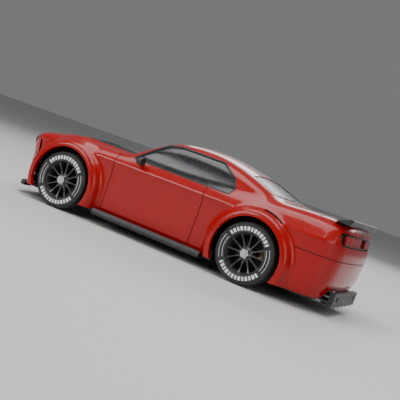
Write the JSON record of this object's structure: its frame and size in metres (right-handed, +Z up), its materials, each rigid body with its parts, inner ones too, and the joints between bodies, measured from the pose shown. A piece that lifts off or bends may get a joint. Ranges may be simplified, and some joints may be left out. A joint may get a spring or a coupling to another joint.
{
  "type": "rc drift car",
  "caption": "Scale remote-controlled coupe: hollow red body on a flat chassis with a geared motor, a driven rear axle, sprung steered front wheels, a battery and under-floor light bars.",
  "frame": {"origin": "on the ground under the middle of the car's overall box", "axes": "+X towards the nose, +Y towards the car's left side, +Z up"},
  "size_m": [0.235, 0.103, 0.0705],
  "materials": {
    "body_paint": "glossy saturated red paint under clear lacquer",
    "smoked_glass": "smoked near-black window insert, glossy",
    "black_trim": "semi-gloss black moulded trim",
    "black_mesh": "matte black honeycomb",
    "clear_lens": "clear moulded lens",
    "red_lens": "deep red lens",
    "chassis_black": "fine-grained black nylon",
    "dark_grey": "dark grey moulded nylon",
    "tyre": null,
    "rim": "gunmetal-black satin plastic wheel",
    "steel": "plated steel",
    "brass": "brass",
    "gear_white": "off-white acetal gears",
    "board_green": "green circuit board",
    "cell_wrap": "blue shrink wrap",
    "light_bar": "translucent light bar"
  },
  "bodies": {
    "chassis": {"body_shell": "body_paint", "window_glazing": "smoked_glass", "grille_panel": "black_mesh", "headlight_lenses": "clear_lens", "lower_grille": "black_mesh", "front_splitter": "black_trim", "side_skirts": "black_trim", "door_mirrors": "black_trim", "rear_spoiler": "black_trim", "tail_lamp_panel": "black_trim", "tail_lamp_lenses": "red_lens", "rear_diffuser": "black_trim", "exhaust_tips": "steel", "hood_scoops": "black_mesh", "chassis_tub": "chassis_black", "battery_door": "chassis_black", "battery_pack": "cell_wrap", "receiver_board": "board_green", "steering_servo": "dark_grey", "front_lower_arm": "dark_grey", "front_upper_arm": "dark_grey", "kingpins": "steel", "spring_left": "steel", "spring_right": "steel", "motor_case": "steel", "gearbox_case": "dark_grey", "gearbox_cover": "dark_grey", "idler_pin": "steel", "rear_bearing_block": "dark_grey", "axle_bushes": "brass", "switch_housing": "dark_grey", "underglow_bars": "light_bar", "body_posts": "chassis_black", "underside_screws": "steel"},
    "rear_axle_unit": {"rear_axle": "steel", "axle_gear": "gear_white", "rear_wheel_hexes": "dark_grey", "rear_wheel_nuts": "steel", "rim_rear_left": "rim", "rim_rear_right": "rim", "tyre_rear_left": "tyre", "tyre_rear_right": "tyre"},
    "idler_unit": {"idler_gear": "gear_white"},
    "motor_rotor": {"motor_shaft": "steel", "motor_pinion": "brass"},
    "collar_left": {"spring_collar_left": "dark_grey"},
    "collar_right": {"spring_collar_right": "dark_grey"},
    "upright_left": {"knuckle_left": "dark_grey", "axle_screw_left": "steel"},
    "upright_right": {"knuckle_right": "dark_grey", "axle_screw_right": "steel"},
    "wheel_front_left": {"rim_front_left": "rim", "tyre_front_left": "tyre"},
    "wheel_front_right": {"rim_front_right": "rim", "tyre_front_right": "tyre"},
    "link_unit": {"steering_link": "dark_grey"},
    "servo_arm": {"servo_horn": "gear_white"},
    "switch_knob": {"switch_slider": "black_trim"}
  },
  "joints": [
    {"name": "rear_axle_spin", "type": "hinge", "parent": "chassis", "child": "rear_axle_unit", "pos_m": [-0.0635, 0, 0.01875], "axis": [0, 1, 0], "continuous": true},
    {"name": "idler_spin", "type": "hinge", "parent": "chassis", "child": "idler_unit", "pos_m": [-0.05179, 0.0145, 0.02189], "axis": [0, 1, 0], "continuous": true},
    {"name": "motor_spin", "type": "hinge", "parent": "chassis", "child": "motor_rotor", "pos_m": [-0.04241, 0, 0.01884], "axis": [0, 1, 0], "continuous": true},
    {"name": "left_suspension", "type": "slide", "parent": "chassis", "child": "collar_left", "axis": [0, 0, 1], "range_m": [0, 0.002], "stiffness_N_per_m": 500, "springref_m": -0.003, "deforming": ["spring_left"]},
    {"name": "left_steer", "type": "hinge", "parent": "collar_left", "child": "upright_left", "pos_m": [0.0725, 0.0315, 0.01875], "axis": [0, 0, 1], "range_deg": [-25, 25]},
    {"name": "left_wheel_spin", "type": "hinge", "parent": "upright_left", "child": "wheel_front_left", "pos_m": [0.0725, 0.0425, 0.01875], "axis": [0, 1, 0], "continuous": true},
    {"name": "right_suspension", "type": "slide", "parent": "chassis", "child": "collar_right", "axis": [0, 0, 1], "range_m": [0, 0.002], "stiffness_N_per_m": 500, "springref_m": -0.003, "deforming": ["spring_right"]},
    {"name": "right_steer", "type": "hinge", "parent": "collar_right", "child": "upright_right", "pos_m": [0.0725, -0.0315, 0.01875], "axis": [0, 0, 1], "range_deg": [-25, 25]},
    {"name": "right_wheel_spin", "type": "hinge", "parent": "upright_right", "child": "wheel_front_right", "pos_m": [0.0725, -0.0425, 0.01875], "axis": [0, 1, 0], "continuous": true},
    {"name": "link_slide", "type": "slide", "parent": "chassis", "child": "link_unit", "axis": [0, 1, 0], "range_m": [-0.0052, 0.0052]},
    {"name": "servo_turn", "type": "hinge", "parent": "chassis", "child": "servo_arm", "pos_m": [0.0485, 0, 0.0232], "axis": [0, 0, 1], "range_deg": [-26, 26]},
    {"name": "power_switch", "type": "slide", "parent": "chassis", "child": "switch_knob", "axis": [1, 0, 0], "range_m": [0, 0.003]}
  ],
  "couplings": [
    {"joint": "idler_spin", "follows": "rear_axle_spin", "ratio": -3},
    {"joint": "motor_spin", "follows": "rear_axle_spin", "ratio": 10},
    {"joint": "right_steer", "follows": "left_steer", "ratio": 1},
    {"joint": "link_slide", "follows": "left_steer", "m_per_rad": -0.01162},
    {"joint": "servo_turn", "follows": "left_steer", "ratio": -1}
  ]
}
